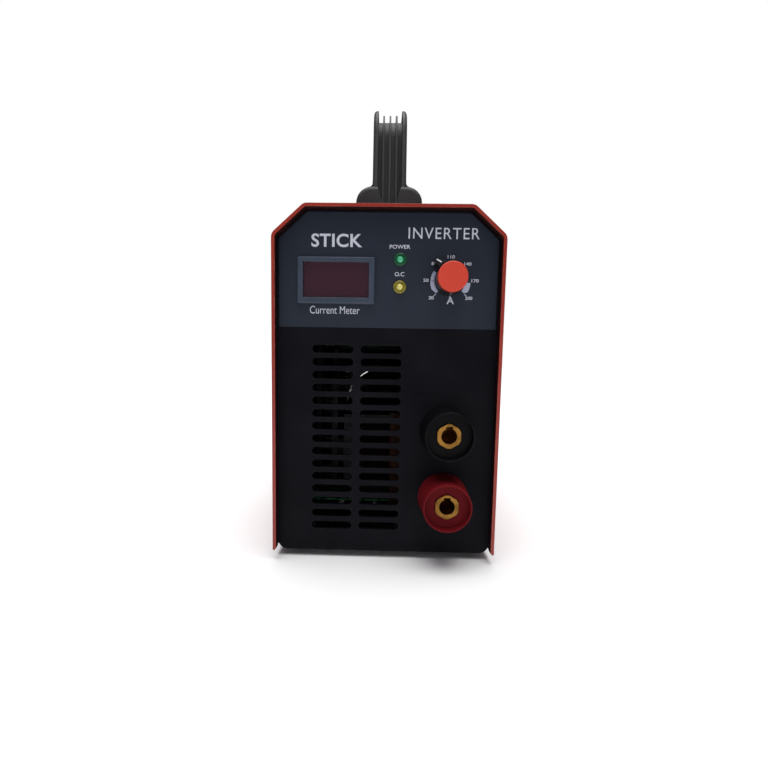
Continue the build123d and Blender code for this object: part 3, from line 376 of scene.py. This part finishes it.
def flat_polygon(name, outline, material):
    """A thin printed shape on the label: outline is (x, z) points, anticlockwise from the front."""
    count = len(outline)
    front = [(x, LABEL_Y - INK_T, z) for x, z in outline]
    back = [(x, LABEL_Y + INK_T, z) for x, z in outline]
    faces = [list(range(count)), [count + i for i in reversed(range(count))]]
    faces += [[i, count + i, count + (i + 1) % count, (i + 1) % count] for i in range(count)]
    mesh = bpy.data.meshes.new(name)
    mesh.from_pydata(front + back, [], faces)
    mesh.update()
    return mesh_piece(name, mesh, material)


def around(angle, reach):
    """(x, z) on the dial's scale, at an angle in degrees clockwise from the top."""
    a = math.radians(angle)
    return SCALE.x + reach * math.sin(a), SCALE.z + reach * math.cos(a)


def stroke(name, start, end, width, material):
    """A straight printed line between two (x, z) points on the label."""
    along = Vector((end[0] - start[0], end[1] - start[1])).normalized()
    side = Vector((-along.y, along.x)) * width / 2
    outline = [(start[0] + side.x, start[1] + side.y), (start[0] - side.x, start[1] - side.y),
               (end[0] - side.x, end[1] - side.y), (end[0] + side.x, end[1] + side.y)]
    return flat_polygon(name, outline, material)


def crescent(name, start, end, material, steps=48):
    """A printed band round the dial, narrow at its start and at full width a quarter of the way along."""
    verts, faces = [], []
    for i in range(steps + 1):
        part = i / steps
        angle = start + (end - start) * part
        wide = min(1.0, BAND_START + BAND_GROWTH * part)
        outer = BAND_INNER + (BAND_OUTER - BAND_INNER) * wide
        for depth in (LABEL_Y - INK_T, LABEL_Y + INK_T):
            for reach in (BAND_INNER, outer):
                x, z = around(angle, reach)
                verts.append((x, depth, z))
    for i in range(steps):
        a, b = 4 * i, 4 * i + 4
        faces += [[a, a + 1, b + 1, b], [a + 2, b + 2, b + 3, a + 3],
                  [a, b, b + 2, a + 2], [a + 1, a + 3, b + 3, b + 1]]
    last = 4 * steps
    faces += [[0, 2, 3, 1], [last, last + 1, last + 3, last + 2]]
    if end < start:
        faces = [face[::-1] for face in faces]       # keeps the faces outward when it runs anticlockwise
    mesh = bpy.data.meshes.new(name)
    mesh.from_pydata(verts, [], faces)
    mesh.update()
    return mesh_piece(name, mesh, material)


def word(name, words, beside, across, up, width, height, **options):
    """Lettering whose middle lies across and up from a part's middle, all in millimetres."""
    centre = (beside.x + across * MM, beside.z + up * MM)
    return printed_text(name, words, centre, width * MM, height * MM, **options)


word("print_stick", "STICK", METER, 0.15, 24.45, 31.5, 8.1, bold=0.022, spacing=1.05)
word("print_inverter", "INVERTER", DIAL, -3.95, 28.55, 43.7, 6.7, spacing=1.12)
word("print_current_meter", "Current Meter", METER, -0.75, -18.0, 31.3, 4.8)
word("print_power", "POWER", POWER_LAMP, -0.3, 7.7, 12.8, 2.4, bold=0.012)
word("print_overload", "O.C", OVERLOAD_LAMP, -0.25, 7.85, 5.9, 2.5, bold=0.012)
word("print_amps", "A", DIAL, 1.05, -11.8, 4.5, 4.6, bold=0.012)

# the dial's scale; reaches are from the scale's centre
DIAL_NUMBERS = (20, 50, 80, 110, 140, 170, 200)
SWEEP = 130.0                       # degrees either side of the top, for the first and last numbers
NUMBER_REACH = 15.2 * MM
NUMBER_HEIGHT = 2.0 * MM
TWO_DIGITS, THREE_DIGITS = 3.2 * MM, 4.4 * MM
TICK_WIDTH = 0.36 * MM
END_TICK = (INK, 11.4 * MM, 13.2 * MM)           # ink, nearest reach and farthest reach
BAND_TICK = (BAND_GAP_INK, 9.0 * MM, 12.6 * MM)  # a dark line across the band
BAND_INNER, BAND_OUTER = 8.8 * MM, 12.4 * MM
BAND_START, BAND_GROWTH = 0.6, 1.6               # its width at the start, and how fast it widens

for index, number in enumerate(DIAL_NUMBERS):
    angle = -SWEEP + 2 * SWEEP * index / (len(DIAL_NUMBERS) - 1)
    width = TWO_DIGITS if number < 100 else THREE_DIGITS
    place = around(angle, NUMBER_REACH)
    printed_text(f"print_dial_{number}", str(number), place, width, NUMBER_HEIGHT, bold=0.014)
    at_end = number in (DIAL_NUMBERS[0], DIAL_NUMBERS[-1])
    ink, near, far = END_TICK if at_end else BAND_TICK
    stroke(f"print_tick_{number}", around(angle, near), around(angle, far), TICK_WIDTH, ink)

crescent("print_scale_left", -128, -58, SCALE_INK)
crescent("print_scale_right", 128, 92, SCALE_INK)
LEADER = ((0.8, -9.0), (0.2, -9.8))              # a short line down to the A, in millimetres from the shaft
stroke("print_leader", *((DIAL.x + x * MM, DIAL.z + z * MM) for x, z in LEADER), 0.3 * MM, SCALE_INK)

# the pointer's line, on the sloping face of the knob's nose
POINTER = 36.0          # degrees anticlockwise from the top at rest
# each end's reach from the shaft and height above the knob's back, in millimetres
NOSE_LINE = ((14.7, 4.4), (11.1, 9.35))
LINE_HALF, LINE_T = 0.42, 0.06               # half its width, half its thickness
knob_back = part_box("dial_knob")[1].y


def pointer_line():
    turn = math.radians(-POINTER)
    outward = Vector((math.sin(turn), 0.0, math.cos(turn)))
    across = Vector((math.cos(turn), 0.0, -math.sin(turn)))
    (far, low), (near, high) = NOSE_LINE
    slope = (outward * (far - near) + Vector((0, high - low, 0))).normalized()
    normal = slope.cross(across)
    if normal.y > 0:
        normal = -normal
    verts = []
    for lift in (LINE_T, -LINE_T):
        for reach, height, side in ((far, low, -1), (far, low, 1), (near, high, 1), (near, high, -1)):
            point = outward * reach + across * side * LINE_HALF + normal * lift
            point.y -= height
            verts.append(Vector((DIAL.x, knob_back, DIAL.z)) + point * MM)
    faces = [[0, 3, 2, 1], [4, 5, 6, 7], [0, 1, 5, 4], [1, 2, 6, 5], [2, 3, 7, 6], [3, 0, 4, 7]]
    mesh = bpy.data.meshes.new("pointer_line")
    mesh.from_pydata(verts, [], faces)
    mesh.update()
    made = bmesh.new()
    made.from_mesh(mesh)
    bmesh.ops.recalc_face_normals(made, faces=made.faces)
    made.to_mesh(mesh)
    made.free()
    mesh_piece("pointer_line", mesh, POINTER_INK, "dial")


pointer_line()


# ---------------------------------------------------------------- floor, light and camera
FLOOR_HALF = 8.0


def studio_floor():
    m = Nodes("studio_floor")
    shade = m.ramp(m.noise(3, 3), 0.3, 0.7)
    m.set(color=m.mix(shade, (0.87, 0.87, 0.87, 1), (0.9, 0.9, 0.9, 1)), rough=0.9, specular=0.05)
    r = FLOOR_HALF
    verts = [(-r, -r, 0), (r, -r, 0), (r, r, 0), (-r, r, 0)]
    mesh = bpy.data.meshes.new("floor")
    mesh.from_pydata(verts, [], [[0, 1, 2, 3]])
    mesh.materials.append(m.material)
    floor = bpy.data.objects.new("floor", mesh)
    bpy.context.scene.collection.objects.link(floor)


def area_light(name, place, target, size, power):
    data = bpy.data.lights.new(name, "AREA")
    data.shape = "RECTANGLE"
    data.size, data.size_y = size
    data.energy = power
    light = bpy.data.objects.new(name, data)
    light.location = place
    light.rotation_euler = (Vector(target) - Vector(place)).to_track_quat("-Z", "Y").to_euler()
    bpy.context.scene.collection.objects.link(light)


studio_floor()
area_light("front_light", (0.15, -1.1, 1.5), (0, -0.1, 0.12), (0.35, 0.35), 1.6)


def overhead_light():
    """A broad light from above, which keeps the floor pale all the way to the horizon."""
    data = bpy.data.lights.new("overhead", "SUN")
    data.energy = 3.6
    data.angle = math.radians(50)
    light = bpy.data.objects.new("overhead", data)
    light.rotation_euler = (math.radians(4), 0, 0)       # comes from slightly in front
    bpy.context.scene.collection.objects.link(light)


overhead_light()


def studio_world():
    """Dim room light, behind which the camera sees plain white: it changes the backdrop, not the object."""
    world = bpy.data.worlds.new("studio")
    world.use_nodes = True
    tree = world.node_tree
    room = tree.nodes["Background"]
    room.inputs[0].default_value = (0.9, 0.92, 1.0, 1)
    room.inputs[1].default_value = 0.2
    backdrop = tree.nodes.new("ShaderNodeBackground")
    backdrop.inputs[0].default_value = (1.0, 1.0, 1.0, 1)
    seen = tree.nodes.new("ShaderNodeLightPath").outputs["Is Camera Ray"]
    pick = tree.nodes.new("ShaderNodeMixShader")
    tree.links.new(seen, pick.inputs[0])
    tree.links.new(room.outputs[0], pick.inputs[1])
    tree.links.new(backdrop.outputs[0], pick.inputs[2])
    tree.links.new(pick.outputs[0], tree.nodes["World Output"].inputs[0])
    bpy.context.scene.world = world


studio_world()

CAMERA_PLACE = Vector((-2.03, 0.0, 129.99)) * MM     # across and up; its distance is from the front panel
CAMERA_DISTANCE = 248.13 * MM
PITCH, YAW, ROLL = 0.0844, -0.0184, -0.0165          # radians: down, right and clockwise


def camera():
    data = bpy.data.cameras.new("camera")
    data.sensor_width = 36.0
    data.lens = 18.31
    data.shift_x, data.shift_y = 0.0114, 0.0121
    data.clip_start = 0.01
    forward = Vector((math.sin(YAW) * math.cos(PITCH), math.cos(YAW) * math.cos(PITCH), -math.sin(PITCH)))
    right = Vector((math.cos(YAW), -math.sin(YAW), 0))
    down = forward.cross(right)
    turned_right = right * math.cos(ROLL) + down * math.sin(ROLL)
    turned_down = down * math.cos(ROLL) - right * math.sin(ROLL)
    turn = Matrix((turned_right, -turned_down, -forward)).transposed()
    made = bpy.data.objects.new("camera", data)
    place = CAMERA_PLACE + Vector((0, PANEL_Y - CAMERA_DISTANCE, 0))
    made.matrix_world = Matrix.Translation(place) @ turn.to_4x4()
    bpy.context.scene.collection.objects.link(made)
    bpy.context.scene.camera = made


camera()
bpy.context.scene.view_settings.view_transform = "Standard"
